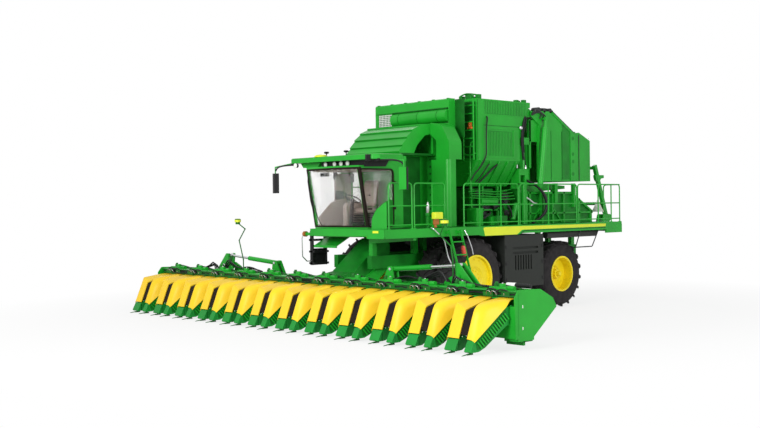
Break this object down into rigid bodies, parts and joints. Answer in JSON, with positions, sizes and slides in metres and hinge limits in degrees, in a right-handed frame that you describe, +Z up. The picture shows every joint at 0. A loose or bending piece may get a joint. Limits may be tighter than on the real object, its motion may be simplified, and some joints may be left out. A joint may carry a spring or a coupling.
{
  "type": "self-propelled cotton harvester with folding header and module builder",
  "caption": "Self-propelled cotton harvester with a wide folding row header, a cab, a rear module builder and dual front wheels.",
  "frame": {"origin": "on the ground, under the middle of the machine's outline", "axes": "+Z up, -Y forward, +X to the machine's left"},
  "size_m": [12.3, 11.04, 5.29],
  "materials": {
    "green_paint": "gloss",
    "hood_yellow": "gloss",
    "rim_yellow": "gloss",
    "tyre": "matte",
    "black_rubber": "matte",
    "grey_panel": "matte",
    "dark_steel": "satin",
    "glass": "gloss",
    "cab_interior": "matte",
    "bright_rod": "polished"
  },
  "bodies": {
    "chassis": {"frame": "green_paint", "outriggers": "green_paint", "front_axle": "green_paint", "rear_axle": "green_paint", "platforms": "green_paint", "handrails": "green_paint", "ladder": "green_paint", "cab_frame": "green_paint", "cab_glass": "glass", "cab_roof": "green_paint", "roof_lamps": "dark_steel", "mirrors": "dark_steel", "operator_station": "cab_interior", "cab_front_beam": "green_paint", "rear_hood": "green_paint", "accumulator": "green_paint", "module_builder": "green_paint", "builder_frame": "green_paint", "engine": "dark_steel", "cooling_box": "green_paint", "side_boxes": "grey_panel", "handler_mount": "green_paint"},
    "dual_wheel_left": {"tyres_front_left": "tyre", "rim_front_left": "rim_yellow"},
    "dual_wheel_right": {"tyres_front_right": "tyre", "rim_front_right": "rim_yellow"},
    "knuckle_left": {"knuckle_rear_left": "green_paint"},
    "knuckle_right": {"knuckle_rear_right": "green_paint"},
    "rear_wheel_left": {"tyre_rear_left": "tyre", "rim_rear_left": "rim_yellow"},
    "rear_wheel_right": {"tyre_rear_right": "tyre", "rim_rear_right": "rim_yellow"},
    "steering_tie_rod": {"tie_rod": "green_paint"},
    "cab_door": {"door_frame": "green_paint", "door_glass": "glass"},
    "header": {"header_centre": "green_paint", "crop_duct": "green_paint", "fold_towers": "green_paint", "row_bases_centre": "green_paint", "hoods_centre": "hood_yellow", "curtains_centre": "black_rubber", "header_lamps": "dark_steel"},
    "wing_left": {"header_left": "green_paint", "row_bases_left": "green_paint", "hoods_left": "hood_yellow", "curtains_left": "black_rubber"},
    "wing_right": {"header_right": "green_paint", "row_bases_right": "green_paint", "hoods_right": "hood_yellow", "curtains_right": "black_rubber"},
    "fold_barrel_left": {"fold_barrel_left": "green_paint"},
    "fold_rod_left": {"fold_rod_left": "bright_rod"},
    "fold_barrel_right": {"fold_barrel_right": "green_paint"},
    "fold_rod_right": {"fold_rod_right": "bright_rod"},
    "gate": {"builder_gate": "green_paint"},
    "gate_barrel_left": {"gate_barrel_left": "green_paint"},
    "gate_rod_left": {"gate_rod_left": "bright_rod"},
    "gate_barrel_right": {"gate_barrel_right": "green_paint"},
    "gate_rod_right": {"gate_rod_right": "bright_rod"},
    "handler": {"module_handler": "green_paint"}
  },
  "joints": [
    {"name": "front_wheel_left_spin", "type": "hinge", "parent": "chassis", "child": "dual_wheel_left", "pos_m": [1.11, -0.8, 0.955], "axis": [1, 0, 0], "continuous": true},
    {"name": "front_wheel_right_spin", "type": "hinge", "parent": "chassis", "child": "dual_wheel_right", "pos_m": [-1.11, -0.8, 0.955], "axis": [1, 0, 0], "continuous": true},
    {"name": "steer_left", "type": "hinge", "parent": "chassis", "child": "knuckle_left", "pos_m": [1, 2.91, 0.865], "axis": [0, 0, 1], "range_deg": [-30, 30]},
    {"name": "rear_wheel_left_spin", "type": "hinge", "parent": "knuckle_left", "child": "rear_wheel_left", "pos_m": [1.41, 2.91, 0.865], "axis": [1, 0, 0], "continuous": true},
    {"name": "steer_right", "type": "hinge", "parent": "chassis", "child": "knuckle_right", "pos_m": [-1, 2.91, 0.865], "axis": [0, 0, 1], "range_deg": [-30, 30]},
    {"name": "rear_wheel_right_spin", "type": "hinge", "parent": "knuckle_right", "child": "rear_wheel_right", "pos_m": [-1.41, 2.91, 0.865], "axis": [1, 0, 0], "continuous": true},
    {"name": "tie_rod_pivot", "type": "hinge", "parent": "knuckle_left", "child": "steering_tie_rod", "pos_m": [1, 3.17, 0.725], "axis": [0, 0, 1], "range_deg": [-30, 30]},
    {"name": "cab_door_hinge", "type": "hinge", "parent": "chassis", "child": "cab_door", "pos_m": [0.948, -2.45, 2.8], "axis": [0, 0, 1], "range_deg": [0, 80]},
    {"name": "header_lift", "type": "hinge", "parent": "chassis", "child": "header", "pos_m": [0, -2.06, 1.4], "axis": [-1, 0, 0], "range_deg": [0, 14]},
    {"name": "wing_fold_left", "type": "hinge", "parent": "header", "child": "wing_left", "pos_m": [4.064, -3.61, 1.23], "axis": [0, -1, 0], "range_deg": [0, 90]},
    {"name": "fold_barrel_left_swing", "type": "hinge", "parent": "header", "child": "fold_barrel_left", "pos_m": [2.05, -3.61, 1.34], "axis": [0, -1, 0], "range_deg": [-9.7, 0]},
    {"name": "fold_rod_left_stroke", "type": "slide", "parent": "fold_barrel_left", "child": "fold_rod_left", "axis": [0.9974, 0, 0.0715], "range_m": [-0.18884, 0]},
    {"name": "wing_fold_right", "type": "hinge", "parent": "header", "child": "wing_right", "pos_m": [-4.064, -3.61, 1.23], "axis": [0, 1, 0], "range_deg": [0, 90]},
    {"name": "fold_barrel_right_swing", "type": "hinge", "parent": "header", "child": "fold_barrel_right", "pos_m": [-2.05, -3.61, 1.34], "axis": [0, 1, 0], "range_deg": [-9.7, 0]},
    {"name": "fold_rod_right_stroke", "type": "slide", "parent": "fold_barrel_right", "child": "fold_rod_right", "axis": [-0.9974, 0, 0.0715], "range_m": [-0.18884, 0]},
    {"name": "gate_lift", "type": "hinge", "parent": "chassis", "child": "gate", "pos_m": [0, 1.97, 5.02], "axis": [1, 0, 0], "range_deg": [0, 60]},
    {"name": "gate_barrel_left_swing", "type": "hinge", "parent": "chassis", "child": "gate_barrel_left", "pos_m": [1.59, 2.12, 3.2], "axis": [1, 0, 0], "range_deg": [0, 4.5]},
    {"name": "gate_rod_left_stroke", "type": "slide", "parent": "gate_barrel_left", "child": "gate_rod_left", "axis": [0, 0.1512, 0.9885], "range_m": [0, 0.40327]},
    {"name": "gate_barrel_right_swing", "type": "hinge", "parent": "chassis", "child": "gate_barrel_right", "pos_m": [-1.59, 2.12, 3.2], "axis": [1, 0, 0], "range_deg": [0, 4.5]},
    {"name": "gate_rod_right_stroke", "type": "slide", "parent": "gate_barrel_right", "child": "gate_rod_right", "axis": [0, 0.1512, 0.9885], "range_m": [0, 0.40327]},
    {"name": "handler_lower", "type": "hinge", "parent": "chassis", "child": "handler", "pos_m": [0, 5.43, 2.33], "axis": [-1, 0, 0], "range_deg": [0, 115]}
  ],
  "couplings": [
    {"joint": "steer_right", "follows": "steer_left", "ratio": 1},
    {"joint": "tie_rod_pivot", "follows": "steer_left", "ratio": -1},
    {"joint": "fold_barrel_left_swing", "follows": "wing_fold_left", "ratio": -0.1067},
    {"joint": "fold_rod_left_stroke", "follows": "wing_fold_left", "m_per_rad": -0.11894},
    {"joint": "gate_barrel_left_swing", "follows": "gate_lift", "ratio": 0.073308},
    {"joint": "gate_rod_left_stroke", "follows": "gate_lift", "m_per_rad": 0.38318},
    {"joint": "fold_barrel_right_swing", "follows": "wing_fold_right", "ratio": -0.1067},
    {"joint": "fold_rod_right_stroke", "follows": "wing_fold_right", "m_per_rad": -0.11894},
    {"joint": "gate_barrel_right_swing", "follows": "gate_lift", "ratio": 0.073308},
    {"joint": "gate_rod_right_stroke", "follows": "gate_lift", "m_per_rad": 0.38318}
  ]
}
